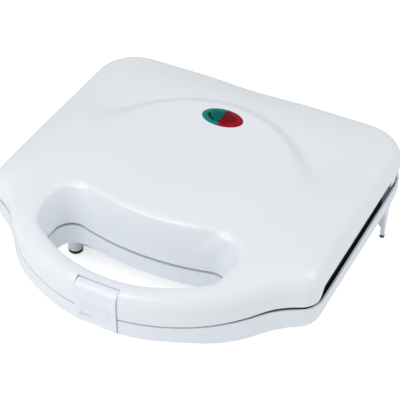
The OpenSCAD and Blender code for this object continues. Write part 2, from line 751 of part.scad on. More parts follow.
module hinge_bracket() {
    base_z = az - knuckle_r - 3;
    x0 = hinge_x - slot_w / 2 - bracket_t;
    x1 = hinge_x + slot_w / 2 + bracket_t;
    difference() {
        union() {
            for (x = [x0, x1 - bracket_t])
                hull() {
                    bar_x(x, x + bracket_t, ay, az, 2 * knuckle_r);
                    block(x, x + bracket_t, ay - 7.5, ay + 2, base_z, base_z + 1);
                }
            block(x0 - 8, x1 + 8, ay - 21, ay + 2.4, base_z, base_z + 2);
        }
        bar_x(x0 - 1, x1 + 1, ay, az, pin_d + 0.04);
        block(hinge_x - slot_w / 2, hinge_x + slot_w / 2, ay - 8, yr, base_z - 1, az + 10);
        for (x = [-14.5, 14.5])
            post(hinge_x + x, ay - 16, base_z - 1, base_z + 4, screw_d + 0.4);
    }
}
module hinge_pin() {
    half = slot_w / 2 + bracket_t;
    bar_x(hinge_x - half - 0.2, hinge_x + half + 0.2, ay, az, pin_d);
    bar_x(hinge_x + half + 0.1, hinge_x + half + 0.5, ay, az, pin_d + 3);
}
module hinge_arm() {
    x0 = hinge_x - arm_w / 2;
    x1 = hinge_x + arm_w / 2;
    flange_z = hp + 11.4;
    difference() {
        union() {
            hull() {
                bar_x(x0, x1, ay, az, 2 * knuckle_r - 0.6);
                block(x0, x1, ay - 8, ay + 3, flange_z, flange_z + 1);
            }
            block(x0 - 2, x1 + 2, block_front + 6, ay + 3, flange_z, flange_z + 3 - seat);
        }
        bar_x(x0 - 1, x1 + 1, ay, az, pin_d + 2 * pin_play);
        post(hinge_x, block_front + 12, flange_z - 1, flange_z + 4, screw_d + 0.4);
    }
}
module pan_screw(x, y, z, long) {
    translate([x, y, z]) {
        cylinder(h = 1.8, d = 6);
        translate([0, 0, -long])
            cylinder(h = long + 0.1, d = screw_d - 0.2);
    }
}
module left_hinge_bracket() color("silver") mirror([1, 0, 0]) hinge_bracket();
module right_hinge_bracket() color("silver") hinge_bracket();
module left_hinge_pin() color("lightgray") mirror([1, 0, 0]) hinge_pin();
module right_hinge_pin() color("lightgray") hinge_pin();
module left_hinge_arm() color("silver") mirror([1, 0, 0]) hinge_arm();
module right_hinge_arm() color("silver") hinge_arm();
module hinge_bracket_screws() color("silver") {
    pair()
        for (x = [-14.5, 14.5])
            pan_screw(hinge_x + x, ay - 16, az - knuckle_r - 0.9, 7);
}
module hinge_arm_screws() color("silver") {
    pair()
        translate([0, 0, 2 * (hp + 11.3)])
            mirror([0, 0, 1])
                pan_screw(hinge_x, block_front + 12, hp + 11.3, 8);
}
module lead_tube() color("lightgray") {
    x1 = lead_x - lead_slot - 0.3;
    difference() {
        bar_x(x1 - 8, x1, ay, az, 5);
        bar_x(x1 - 9, x1 + 1, ay, az, lead_d + 0.4);
    }
    block(x1 - 6, x1 - 3, ay - 3.5, ay - 0.8, hp - side_depth + wall + seat, az - 2.2);
}

// ---- Window and lamps ----

module lens_half() {
    top = hp + lid_height([0, ly]);
    crown = [[0, 0.1], [0.5, 0.45], [2.2, 0.85], [4.6, 1.1]];
    function rim(d) = [for (a = [-90:15:90])
        [0.1 + max(0, lens_w / 2 - 0.1 - d) * cos(a), ly + (lens_d / 2 - d) * sin(a)]];
    loft(concat([lift(rim(0), top - lens_skirt)], [for (c = crown) lift(rim(c[0]), top + c[1])]));
}
module red_lens() color("red") lens_half();
module green_lens() color("seagreen") mirror([1, 0, 0]) lens_half();
module lamp() {
    bar_x(2, 10, ly, lamp_z, lamp_d);
    translate([10, ly, lamp_z])
        sphere(d = lamp_d - 0.4);
}
module red_lamp() color("orange") lamp();
module green_lamp() color("lightgreen") mirror([1, 0, 0]) lamp();
module lamp_holder() color("white") {
    z0 = hp + reflector_drop + reflector_t + 0.3;
    difference() {
        union() {
            block(-17, 17, ly - 9, ly + 9, z0, z0 + 1.2);
            pair() {
                block(15.4, 17, ly - 5, ly + 5, z0, hp + lid_height([0, ly]) - wall - 0.6);
                block(4, 8, ly - 4.2, ly + 4.2, z0, lamp_z + 0.5);
            }
        }
        bar_x(-13, 13, ly, lamp_z, lamp_d + 0.2);
    }
}
module lid_wiring() color("firebrick") {
    top = hp + reflector_drop + reflector_t + 2;
    tube([[lead_x - lead_slot - 10, ay, az], [lead_x - 3, ay, az], [lead_x - 0.8, ay, az + 0.8],
        [lead_x, ay, az + 3], [lead_x, ay, hp + 12.5], [lead_x, ay - 2, hp + 15], [lead_x, ay - 6, hp + 16],
        [lead_x, ay - 17.8, hp + 17.5], [lead_x - 2, ay - 29.8, hp + 21.5], [34, ly + 15.6, top],
        [20, ly + 12.6, top], [11, ly + 11.1, top], [10, ly + 9.6, top]], lead_d);
}

// ---- Latch ----

module latch_clip() color("whitesmoke") {
    half = clip_w / 2;
    bottom = nose_top - nose_h - 1.6;
    difference() {
        union() {
            bar_x(-half, half, py, pz, 2 * clip_r);
            block(-half, half, clip_front, clip_front + clip_t, bottom + 1.5, pz);
            bar_x(-half, half, clip_front + 1.5, bottom + 1.5, 3);
            block(-half, half, clip_front + 1.5, clip_front + clip_t, bottom, bottom + 1.6);
            // the nose, with a sloping underside
            translate([-half + 1, 0, 0])
                rotate([90, 0, 90])
                    linear_extrude(clip_w - 2)
                        polygon([[clip_front + clip_t - 0.5, nose_top], [catch_y + nose_l - 0.3, nose_top],
                            [catch_y + nose_l - 0.3, nose_top - 0.8],
                            [clip_front + clip_t - 0.5, nose_top - nose_h]]);
        }
        bar_x(-half - over, half + over, py, pz, latch_pin_d + 2 * pin_play);
        // hollow below the rolled top
        block(-half + 2, half - 2, clip_front + clip_t, py + clip_r + over, pz - clip_r - over, pz - 2.6);
        // grip ribs across the leg
        for (i = [0:4])
            block(-half + 4, half - 4, clip_front - over, clip_front + 0.3,
                hp - 7 + 3.2 * i, hp - 6.2 + 3.2 * i);
    }
}
module latch_pin() color("lightgray") {
    reach = clip_w / 2 + slide + cheek_w - 1.2;
    bar_x(-reach, reach, py, pz, latch_pin_d);
}

base_shell();
lower_plate();
lower_heater();
lower_heater_clips();
lower_reflector();
lower_plate_screws();
thermostat();
thermal_fuse();
terminal_block();
base_wiring();
cord_gland();
front_feet();
rear_feet();
left_hinge_bracket();
right_hinge_bracket();
left_hinge_pin();
right_hinge_pin();
hinge_bracket_screws();
lead_tube();
lid_shell();
upper_plate();
upper_heater();
upper_heater_clips();
upper_reflector();
upper_plate_screws();
left_hinge_arm();
right_hinge_arm();
hinge_arm_screws();
green_lens();
red_lens();
lamp_holder();
green_lamp();
red_lamp();
lid_wiring();
latch_clip();
latch_pin();
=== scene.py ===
"""Studio scene of a sandwich toaster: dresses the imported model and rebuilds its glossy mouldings.

The toaster's sizes are written in millimetres and turned into metres when a mesh is made. X points
to the right seen from the handle, Y towards the hinge and Z up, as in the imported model. A crease is
an angle in degrees: edges that turn by more stay sharp when a mesh is shaded smooth.
"""

import json
import logging
import math
from dataclasses import dataclass, field
from enum import Enum
from typing import Iterable, Sequence

import bmesh
import bpy
import numpy as np
from mathutils import Matrix, Vector

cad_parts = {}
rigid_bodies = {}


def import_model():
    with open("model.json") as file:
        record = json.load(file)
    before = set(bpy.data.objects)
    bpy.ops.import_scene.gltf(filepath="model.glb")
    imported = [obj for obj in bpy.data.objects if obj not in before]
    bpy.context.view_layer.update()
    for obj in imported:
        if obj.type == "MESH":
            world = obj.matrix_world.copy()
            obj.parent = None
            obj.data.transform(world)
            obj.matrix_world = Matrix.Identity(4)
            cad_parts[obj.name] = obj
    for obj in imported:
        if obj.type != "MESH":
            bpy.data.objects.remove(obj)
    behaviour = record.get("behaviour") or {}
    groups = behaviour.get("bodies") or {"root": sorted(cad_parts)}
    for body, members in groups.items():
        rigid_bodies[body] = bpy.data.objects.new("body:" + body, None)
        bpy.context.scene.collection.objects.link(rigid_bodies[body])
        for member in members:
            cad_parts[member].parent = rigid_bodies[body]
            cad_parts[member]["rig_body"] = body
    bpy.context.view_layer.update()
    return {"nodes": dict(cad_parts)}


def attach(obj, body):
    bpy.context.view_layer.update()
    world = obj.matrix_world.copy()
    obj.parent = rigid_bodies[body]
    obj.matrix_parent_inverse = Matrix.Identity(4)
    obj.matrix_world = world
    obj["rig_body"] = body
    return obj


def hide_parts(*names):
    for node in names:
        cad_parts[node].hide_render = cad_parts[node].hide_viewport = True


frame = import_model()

log = logging.getLogger("toaster")
MM = 0.001
FINE_STEPS = 4001  # directions in which an outline is measured
NOISE_SPAN = (0.3, 0.7)  # where nearly all of a noise's values lie
MERGE_DISTANCE = 1e-6  # metres
FLAT_ANGLE = 0.5  # degrees between faces that count as one plane
CREASE = 32.0
WINDOW_SPOT = (0.0, 53.9)  # centre of the lamp window in plan
WINDOW_SIZE = (28.8, 17.6)  # its length and its depth
Array = np.ndarray
Mesh = bpy.types.Mesh
Socket = bpy.types.NodeSocket
Pair = tuple[float, float]
Triple = tuple[float, float, float]
Stops = tuple[Pair, ...]


# -------- finishes


class Tint(Enum):
    """Named base colours, linear RGB."""

    COOL_WHITE = (0.872, 0.902, 0.938)
    CLIP_WHITE = (0.855, 0.885, 0.95)
    BASE_WHITE = (0.845, 0.885, 0.935)
    NON_STICK = (0.012, 0.012, 0.014)
    ZINC = (0.62, 0.62, 0.64)
    HEATED_STEEL = (0.16, 0.145, 0.13)
    BRIGHT_SHEET = (0.78, 0.78, 0.80)
    BLACK_RUBBER = (0.012, 0.012, 0.014)
    GREY_RUBBER = (0.10, 0.105, 0.12)
    GREEN_WINDOW = (0.0, 0.17, 0.14)
    RED_WINDOW = (0.26, 0.003, 0.012)
    CERAMIC = (0.66, 0.58, 0.44)
    IVORY = (0.80, 0.78, 0.70)
    RED_WIRE = (0.45, 0.03, 0.02)
    GREY_SLEEVE = (0.48, 0.47, 0.44)
    NEON = (0.85, 0.50, 0.30)


class Nodes:
    """A shader node tree that is built from nothing."""

    def __init__(self, owner: bpy.types.Material | bpy.types.World) -> None:
        """Empties the owner's tree.

        Args:
            owner: the material or world.
        """
        owner.use_nodes = True
        self.tree = owner.node_tree
        self.tree.nodes.clear()

    def add(self, kind: str, inputs: dict[str | int, object], **settings: str) -> bpy.types.Node:
        """Adds a node.

        Args:
            kind: its type, without the prefix that all shader nodes share.
            inputs: by name or number, a socket to link or a value to set.
            settings: the node's own properties.

        Returns:
            The node.
        """
        node = self.tree.nodes.new(f"ShaderNode{kind}")
        for name, value in settings.items():
            setattr(node, name, value)
        for name, value in inputs.items():
            if isinstance(value, Socket):
                self.tree.links.new(value, node.inputs[name])
            else:
                node.inputs[name].default_value = value
        return node


class Surface(Nodes):
    """A material's nodes, with noises and ramps in the object's own coordinates."""

    def __init__(self, material: bpy.types.Material) -> None:
        """Empties the material's tree and adds the coordinates.

        Args:
            material: the material.
        """
        super().__init__(material)
        self.place = self.add("TexCoord", {}).outputs["Object"]

    def noise(self, size: float, detail: float = 3.0) -> Socket:
        """Noise in cells of an even size.

        Args:
            size: cell size in millimetres.
            detail: octaves.

        Returns:
            The noise's value output.
        """
        inputs = {"Vector": self.place, "Scale": 1.0 / (size * MM), "Detail": detail}
        return self.add("TexNoise", inputs).outputs["Fac"]

    def span(self, value: Socket, start: Pair, end: Pair = (0.0, 1.0)) -> Socket:
        """Maps one span of values to another.

        Args:
            value: the value.
            start: the span that it comes from.
            end: the span that it goes to.

        Returns:
            The mapped value's output.
        """
        return self.add("MapRange", {
            "Value": value, "From Min": start[0], "From Max": start[1],
            "To Min": end[0], "To Max": end[1]}).outputs["Result"]

    def shades(self, value: Socket, stops: Stops, base: Array) -> Socket:
        """A ramp over a value, of a colour times each stop's factor.

        Args:
            value: the ramp's input.
            stops: places and factors, in rising order.
            base: the colour.

        Returns:
            The ramp's output.
        """
        node = self.add("ValToRGB", {"Fac": value})
        elements = node.color_ramp.elements
        while len(elements) < len(stops):
            elements.new(0.5)
        for element, (spot, factor) in zip(elements, stops):
            element.position = spot
            element.color = (*np.minimum(base * factor, 1), 1)
        return node.outputs["Color"]


@dataclass(frozen=True)
class Finish:
    """A procedural material: a base colour with slow mottling, and roughness and bump from noise.

    Attributes:
        name: the material's name.
        tint: the base colour.
        rough: middle roughness.
        mottle: how far the colour wanders from the base colour.
        cell: size of the mottling, in millimetres.
        grain: size of the bump's grain, in millimetres.
        relief: height of the bump, in millimetres.
        wander: how far the roughness wanders from its middle, as a share of it.
        wear_cell: size of the roughness's cells, as a share of the mottling's.
        metallic: 1 for bare or plated metal.
        gloss: weight of the clear gloss over the body.
        gloss_rough: its roughness.
        specular: specular level of the body.
    """

    name: str
    tint: Tint
    rough: float
    mottle: float = 0.02
    cell: float = 30.0
    grain: float = 1.2
    relief: float = 0.01
    wander: float = 0.06
    wear_cell: float = 0.4
    metallic: float = 0.0
    gloss: float = 0.0
    gloss_rough: float = 0.12
    specular: float = 0.5

    def build(self) -> bpy.types.Material:
        """Makes the material once, and then shares it.

        Returns:
            The material.
        """
        known = bpy.data.materials.get(self.name)
        if known is not None:
            return known
        material = bpy.data.materials.new(self.name)
        surface = Surface(material)
        ends = self.rough * (1 - self.wander), self.rough * (1 + self.wander)
        bump = {"Distance": self.relief * MM, "Strength": 1.0, "Height": surface.noise(self.grain, 2.0)}
        shader = surface.add("BsdfPrincipled", {
            "Base Color": self.colour(surface),
            "Metallic": self.metallic,
            "Roughness": surface.span(surface.noise(self.cell * self.wear_cell), NOISE_SPAN, ends),
            "Specular IOR Level": self.specular,
            "Coat Weight": self.gloss,
            "Coat Roughness": self.gloss_rough,
            "Normal": surface.add("Bump", bump).outputs["Normal"]})
        surface.add("OutputMaterial", {"Surface": shader.outputs["BSDF"]})
        return material

    def colour(self, surface: Surface) -> Socket:
        """The base colour between a slightly darker and a slightly lighter shade.

        Args:
            surface: the material's nodes.

        Returns:
            The colour output.
        """
        stops = tuple(zip(NOISE_SPAN, (1 - self.mottle, 1 + self.mottle)))
        return surface.shades(surface.noise(self.cell), stops, np.array(self.tint.value))


@dataclass(frozen=True)
class TintedWindow(Finish):
    """Deeply tinted clear plastic with painted light: a painted bright rim and painted shade over the lamps,
    and dark spots in a ring.

    Attributes:
        rings: factors of the tint by the way out from the centre, which paint shade in the middle and light
            near the rim.
        mark_ring: strength of the dark marks by the way out.
        mark_span: the noise values between which a mark sets in.
        mark_cell: size of the marks, in millimetres.
        mark_shade: factor of the tint in a mark.
        tall: metres of height that count as one, so many that the height has no say.
    """

    # painted light and shade: the tint is darkened over the middle and brightened near the rim
    rings: Stops = ((0.0, 0.55), (0.4, 0.7), (0.62, 0.8), (0.76, 1.35), (0.9, 1.5), (1.0, 0.9))
    mark_ring: Stops = ((0.5, 0.0), (0.62, 1.0), (0.72, 1.0), (0.8, 0.0))
    mark_span: Pair = (0.5, 0.6)
    mark_cell: float = 3.2
    mark_shade: float = 0.12
    gloss: float = 0.05
    gloss_rough: float = 0.06
    specular: float = 0.08
    tall: float = 1000.0

    def colour(self, surface: Surface) -> Socket:
        """The tint by the way out from the centre: painted shade in the middle, painted light near the rim,
        and dark marks in a ring two thirds out.

        Args:
            surface: the material's nodes.

        Returns:
            The colour output.
        """
        tint = np.array(self.tint.value)
        hub, half = np.array(WINDOW_SPOT) * MM, np.array(WINDOW_SIZE) / 2 * MM
        shift = {"Vector": surface.place, "Location": (*hub, 0), "Scale": (*half, self.tall)}
        inside = surface.add("Mapping", shift, vector_type="TEXTURE").outputs["Vector"]
        way_out = surface.add("VectorMath", {0: inside}, operation="LENGTH").outputs["Value"]
        ring = surface.shades(way_out, self.mark_ring, np.ones(3))
        spots = surface.span(surface.noise(self.mark_cell, 1.0), self.mark_span)
        mix = surface.add("Mix", {
            "Factor": surface.add("Math", {0: ring, 1: spots}, operation="MULTIPLY").outputs["Value"],
            # painted shade in the middle and painted light near the rim, by the way out
            "A": surface.shades(way_out, self.rings, tint),
            "B": (*(tint * self.mark_shade), 1)}, data_type="RGBA")
        return next(socket for socket in mix.outputs if socket.type == "RGBA")


class Finishes:
    """Every finish: name, tint, roughness, mottling and its cell, grain of the bump and its relief."""

    LID = Finish("lid_plastic", Tint.COOL_WHITE, 0.33, 0.008, 60.0, 2.5, 0.0015, gloss=0.3)
    BASE = Finish("base_plastic", Tint.BASE_WHITE, 0.32, 0.01, 60.0, 2.0, 0.002, gloss=0.4)
    CLIP = Finish("clip_plastic", Tint.CLIP_WHITE, 0.4, 0.01, 20.0, 1.5, 0.004, gloss=0.2)
    NON_STICK = Finish("non_stick_coating", Tint.NON_STICK, 0.38, 0.12, 6.0, 0.5, 0.03)
    ZINC = Finish("zinc_plate", Tint.ZINC, 0.32, 0.06, 5.0, 0.6, 0.01, metallic=1.0)
    PIN = Finish("drawn_pin", Tint.ZINC, 0.2, 0.03, 4.0, 0.4, 0.004, metallic=1.0)
    HEATER = Finish("heated_steel", Tint.HEATED_STEEL, 0.5, 0.18, 9.0, 0.5, 0.02, metallic=1.0)
    SHEET = Finish("bright_sheet", Tint.BRIGHT_SHEET, 0.24, 0.04, 15.0, 1.0, 0.01, metallic=1.0)
    BLACK_RUBBER = Finish("black_rubber", Tint.BLACK_RUBBER, 0.62, 0.1, 3.0, 0.35, 0.03)
    GREY_RUBBER = Finish("grey_rubber", Tint.GREY_RUBBER, 0.6, 0.08, 3.0, 0.35, 0.03)
    GREEN = TintedWindow("green_window", Tint.GREEN_WINDOW, 0.16)
    RED = TintedWindow("red_window", Tint.RED_WINDOW, 0.16)
    CERAMIC = Finish("ceramic", Tint.CERAMIC, 0.55, 0.06, 4.0, 0.4, 0.02)
    IVORY = Finish("ivory_plastic", Tint.IVORY, 0.45, 0.03, 8.0, 0.8, 0.01)
    RED_WIRE = Finish("red_insulation", Tint.RED_WIRE, 0.4, 0.05, 6.0, 0.5, 0.01)
    SLEEVE = Finish("woven_sleeve", Tint.GREY_SLEEVE, 0.7, 0.12, 1.5, 0.4, 0.06)
    NEON = Finish("neon_glass", Tint.NEON, 0.1, 0.05, 3.0, 0.5, 0.002, gloss=1.0)


# -------- meshes


def placed(name: str, data: bpy.types.ID) -> bpy.types.Object:
    """Links a new object to the scene.

    Args:
        name: the object's name.
        data: its mesh, camera or light.

    Returns:
        The object.
    """
    item = bpy.data.objects.new(name, data)
    bpy.context.scene.collection.objects.link(item)
    return item


def make_piece(name: str, mesh: Mesh, body: str, finish: Finish,
               replaces: Sequence[str] = ()) -> None:
    """Links a mesh as a piece that rides on a body.

    Args:
        name: the piece's name.
        mesh: its mesh, in metres and in place.
        body: the CAD body that it moves with.
        finish: its material.
        replaces: the CAD nodes that it stands for.
    """
    piece = placed(name, mesh)
    mesh.materials.clear()
    mesh.materials.append(finish.build())
    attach(piece, body)
    if replaces:
        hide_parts(*replaces)
    log.info("%s: %d faces", name, len(mesh.polygons))


def grid_mesh(name: str, points: Array, round_rows: bool = False) -> Mesh:
    """A mesh over a grid of points, one four-sided face between each four neighbours.

    The last column is joined to the first.

    Args:
        name: the mesh's name.
        points: rows by columns by 3, in millimetres.
        round_rows: joins the last row to the first as well.

    Returns:
        The mesh, in metres.
    """
    rows, cols = points.shape[:2]
    last_row = rows if round_rows else rows - 1
    r, c = np.meshgrid(np.arange(last_row), np.arange(cols), indexing="ij")
    nr, nc = (r + 1) % rows, (c + 1) % cols
    quads = np.stack([r * cols + c, r * cols + nc, nr * cols + nc, nr * cols + c], -1)
    mesh = bpy.data.meshes.new(name)
    mesh.vertices.add(rows * cols)
    mesh.vertices.foreach_set("co", (points * MM).astype(np.float32).ravel())
    mesh.loops.add(quads.size)
    mesh.loops.foreach_set("vertex_index", quads.astype(np.int32).ravel())
    mesh.polygons.add(r.size)
    mesh.polygons.foreach_set("loop_start", np.arange(r.size, dtype=np.int32) * 4)
    mesh.update(calc_edges=True)
    mesh.validate()
    return mesh


def close_ends(mesh: Mesh) -> None:
    """Fills the open ends of a tube-like mesh and turns its faces outwards.

    Args:
        mesh: the mesh, which is changed in place.
    """
    work = bmesh.new()
    work.from_mesh(mesh)
    open_edges = [edge for edge in work.edges if edge.is_boundary]
    if open_edges:
        bmesh.ops.holes_fill(work, edges=open_edges, sides=0)
    bmesh.ops.recalc_face_normals(work, faces=work.faces)
    work.to_mesh(mesh)
    work.free()


def smooth(mesh: Mesh, crease: float = CREASE) -> Mesh:
    """Shades a mesh smooth but for its sharp edges.

    Args:
        mesh: the mesh, which is changed in place.
        crease: its crease.

    Returns:
        The same mesh.
    """
    mesh.polygons.foreach_set("use_smooth", np.ones(len(mesh.polygons), dtype=bool))
    mesh.set_sharp_from_angle(angle=math.radians(crease))
    mesh.update()
    return mesh


def merged_copy(node: str, crease: float = CREASE, even: bool = False) -> Mesh:
    """A copy of a CAD node's mesh with its doubles merged and its curves shaded smooth.

    Args:
        node: the CAD node.
        crease: its crease.
        even: lets the large faces lead the shading, so that slivers don't show.

    Returns:
        The new mesh.
    """
    mesh = frame["nodes"][node].data.copy()
    work = bmesh.new()
    work.from_mesh(mesh)
    bmesh.ops.remove_doubles(work, verts=work.verts, dist=MERGE_DISTANCE)
    bmesh.ops.dissolve_limit(work, angle_limit=math.radians(FLAT_ANGLE), verts=work.verts, edges=work.edges)
    work.to_mesh(mesh)
    work.free()
    mesh = smooth(mesh, crease)
    if even:
        shaded = placed("shade_work", mesh)
        shaded.modifiers.new("normals", "WEIGHTED_NORMAL").keep_sharp = True
        mesh = baked(shaded)
        flatten_slivers(mesh, crease)
    return mesh


def flatten_slivers(mesh: Mesh, crease: float) -> None:
    """Gives a face's corner the face's own normal where its shading leans over too far.

    Args:
        mesh: the mesh, which is changed in place.
        crease: the crease angle in degrees; half of it is too far.
    """
    leaning = np.zeros(3 * len(mesh.loops), dtype=np.float32)
    own = np.zeros(3 * len(mesh.polygons), dtype=np.float32)
    count = np.zeros(len(mesh.polygons), dtype=np.int32)
    mesh.corner_normals.foreach_get("vector", leaning)
    mesh.polygons.foreach_get("normal", own)
    mesh.polygons.foreach_get("loop_total", count)
    leaning, flat = leaning.reshape(-1, 3), np.repeat(own.reshape(-1, 3), count, axis=0)
    over = (leaning * flat).sum(1) < math.cos(math.radians(crease / 2))
    mesh.normals_split_custom_set(np.where(over[:, None], flat, leaning).tolist())


def baked(work: bpy.types.Object) -> Mesh:
    """Applies an object's modifiers.

    Args:
        work: the object, which is removed.

    Returns:
        Its mesh with the modifiers applied.
    """
    graph = bpy.context.evaluated_depsgraph_get()
    graph.update()
    mesh = bpy.data.meshes.new_from_object(work.evaluated_get(graph))
    bpy.data.objects.remove(work)
    return mesh


def carve(mesh: Mesh, tools: Iterable[Mesh]) -> Mesh:
    """The mesh with each tool's solid cut away.

    Args:
        mesh: a closed mesh.
        tools: closed cutting meshes.

    Returns:
        The cut mesh.
    """
    work = placed("carve_work", mesh)
    cutters = []
    for tool in tools:
        cutter = placed("carve_tool", tool)
        modifier = work.modifiers.new("cut", "BOOLEAN")
        modifier.operation = "DIFFERENCE"
        modifier.solver = "EXACT"
        modifier.object = cutter
        cutters.append(cutter)
    result = baked(work)
    for cutter in cutters:
        bpy.data.objects.remove(cutter)
    return result


def prism(name: str, outline: Array, low: float, high: float, axis: int = 2) -> Mesh:
    """A closed straight solid: an outline carried along an axis.

    Args:
        name: the mesh's name.
        outline: points by 2, in the plane of the other two axes, in X, Y, Z order.
        low: where it starts along the axis.
        high: where it ends.
        axis: 0, 1 or 2.

    Returns:
        The mesh.
    """
    others = [k for k in range(3) if k != axis]
    points = np.zeros((2, len(outline), 3))
    points[:, :, others] = outline
    points[0, :, axis] = low
    points[1, :, axis] = high
    mesh = grid_mesh(name, points)
    close_ends(mesh)
    return mesh


def arc(x: float, y: float, r: float, start: float, end: float, count: int) -> Array:
    """Points on a circle: centre plus radius times cosine and sine of the angle.

    Args:
        x: the centre's first coordinate.
        y: its second one.
        r: radius.
        start: first angle in degrees.
        end: last angle in degrees.
        count: number of steps.

    Returns:
        Steps and one by 2.
    """
    angle = np.radians(np.linspace(start, end, count + 1))
    return np.stack([x + r * np.cos(angle), y + r * np.sin(angle)], -1)


def both_sides(half: Array) -> Array:
    """A closed outline from its half.

    Args:
        half: points by 2 on +X, from one crossing of the middle to the other.

    Returns:
        The half and its mirror image.
    """
    return np.concatenate([half, half[-2:0:-1] * [-1, 1]])


def ramp(value: Array) -> Array:
    """An even step: 0 below 0, 1 above 1 and between them t squared times (3 - 2t).

    Args:
        value: t.

    Returns:
        The step's height.
    """
    t = np.clip(value, 0, 1)
    return t * t * (3 - 2 * t)


def softened(rows: Array, steps: int) -> Array:
    """A cubic B-spline along the first axis, which rounds every corner between rows of points.

    Args:
        rows: control rows, at least 4.
        steps: points for each span.

    Returns:
        The denser rows, with the first and last control rows kept.
    """
    ends = np.concatenate([rows[:1], rows[:1], rows, rows[-1:], rows[-1:]])
    t = (np.arange(steps) / steps)[:, None]
    weights = np.concatenate([(1 - t) ** 3, 3 * t ** 3 - 6 * t ** 2 + 4,
                              -3 * t ** 3 + 3 * t ** 2 + 3 * t + 1, t ** 3], 1) / 6
    spans = np.stack([ends[k:len(ends) - 3 + k] for k in range(4)], 1)
    dense = np.einsum("tk,sk...->st...", weights, spans)
    return np.concatenate([dense.reshape(-1, *rows.shape[1:]), rows[-1:]])


def polar_reach(path: Array, hub: Array, angle: Array) -> Array:
    """How far a closed outline lies from a hub inside it.

    Args:
        path: the outline, points by 2.
        hub: the hub's two coordinates.
        angle: directions in radians.

    Returns:
        The distance in each direction.
    """
    away = path - hub
    at = np.arctan2(away[:, 1], away[:, 0])
    order = np.argsort(at)
    return np.interp(angle, at[order], np.hypot(*away.T)[order], period=2 * math.pi)


# -------- the toaster's form


class Side(Enum):
    """The two sides of the toaster, as the sign of X."""

    LEFT = -1
    RIGHT = 1


@dataclass
class Plan:
    """The outline seen from above, in millimetres, and the heights that lid and base share.

    Attributes:
        hub: a point inside the finger opening that the lid's rings are laid round.
        shadow_gap: what the gap between the housings gains from the handle to the front corner.
        shadow_from: the Y where that gain starts.
        shadow_run: the way over which it grows.
        gap_lead: how far before the front corner the wide side gap starts to open.
        gap_run: the way over which it opens.
        steps: points on the handle, neck, front corner, side or rear edge, and rear corner.
    """

    width: float = 230.0
    depth: float = 226.6
    parting: float = 45.0
    wall: float = 2.5
    handle_r: float = 110.3
    corner_y: float = -41.0
    corner_r: float = 15.0
    neck_r: float = 50.0
    rear_r: float = 30.0
    rear_dip: float = 2.5
    dip_half: float = 48.0
    lid_edge: float = 20.6
    lid_round: float = 8.0
    side_gap: float = 9.4
    thin_gap: float = 0.4
    shadow_gap: float = 1.3
    shadow_from: float = -98.0
    shadow_run: float = 38.0
    gap_lead: float = 5.0
    gap_run: float = 9.0
    hub: Pair = (0.0, -75.0)
    steps: tuple[int, int, int, int, int] = (90, 24, 24, 60, 36)

    def path(self, inset: float = 0.0) -> Array:
        """The outline: arcs of the handle, neck, front corner and rear corner, then the rear edge
        with a cosine dip, mirrored to both sides.

        Args:
            inset: how far it is moved inwards.

        Returns:
            The closed outline, points by 2.
        """
        handle_n, neck_n, corner_n, edge_n, rear_n = self.steps
        half_w, half_d = self.width / 2, self.depth / 2
        centre = np.array([0.0, self.handle_r - half_d])
        corner = np.array([half_w - self.corner_r, self.corner_y])
        reach = corner - centre
        far = np.hypot(*reach)
        to_handle, to_corner = self.handle_r + self.neck_r, self.corner_r + self.neck_r
        along = (to_handle ** 2 - to_corner ** 2 + far ** 2) / (2 * far)
        aside = math.sqrt(to_handle ** 2 - along ** 2)
        unit = reach / far
        neck = centre + along * unit + aside * np.array([unit[1], -unit[0]])
        first = math.degrees(math.atan2(*(neck - centre)[::-1]))
        second = math.degrees(math.atan2(*(corner - neck)[::-1]))
        x = np.linspace(half_w - self.rear_r, 0, edge_n)[1:]
        side_y = np.linspace(self.corner_y, half_d - self.rear_r, edge_n + 2)[1:-1]
        dip = self.rear_dip * (1 + np.cos(np.pi * np.minimum(x, self.dip_half) / self.dip_half)) / 2
        half = np.concatenate([
            arc(*centre, self.handle_r - inset, -90, first, handle_n),
            arc(*neck, self.neck_r + inset, first + 180, second, neck_n),
            arc(*corner, self.corner_r - inset, second - 180, 0, corner_n),
            np.stack([np.full(edge_n, half_w - inset), side_y], -1),
            arc(half_w - self.rear_r, half_d - self.rear_r, self.rear_r - inset, 0, 90, rear_n),
            np.stack([x, half_d - dip - inset], -1)])
        return both_sides(half)

    def gap_height(self, y: Array) -> Array:
        """Height of the lid's edge over the parting plane: thin at the handle, a little more towards
        the front corner and wide along the sides, with even ramps between.

        Args:
            y: where along the toaster.

        Returns:
            The height at each place.
        """
        thin = self.thin_gap + self.shadow_gap * ramp((y - self.shadow_from) / self.shadow_run)
        return thin + (self.side_gap - thin) * ramp((y - (self.corner_y - self.gap_lead)) / self.gap_run)


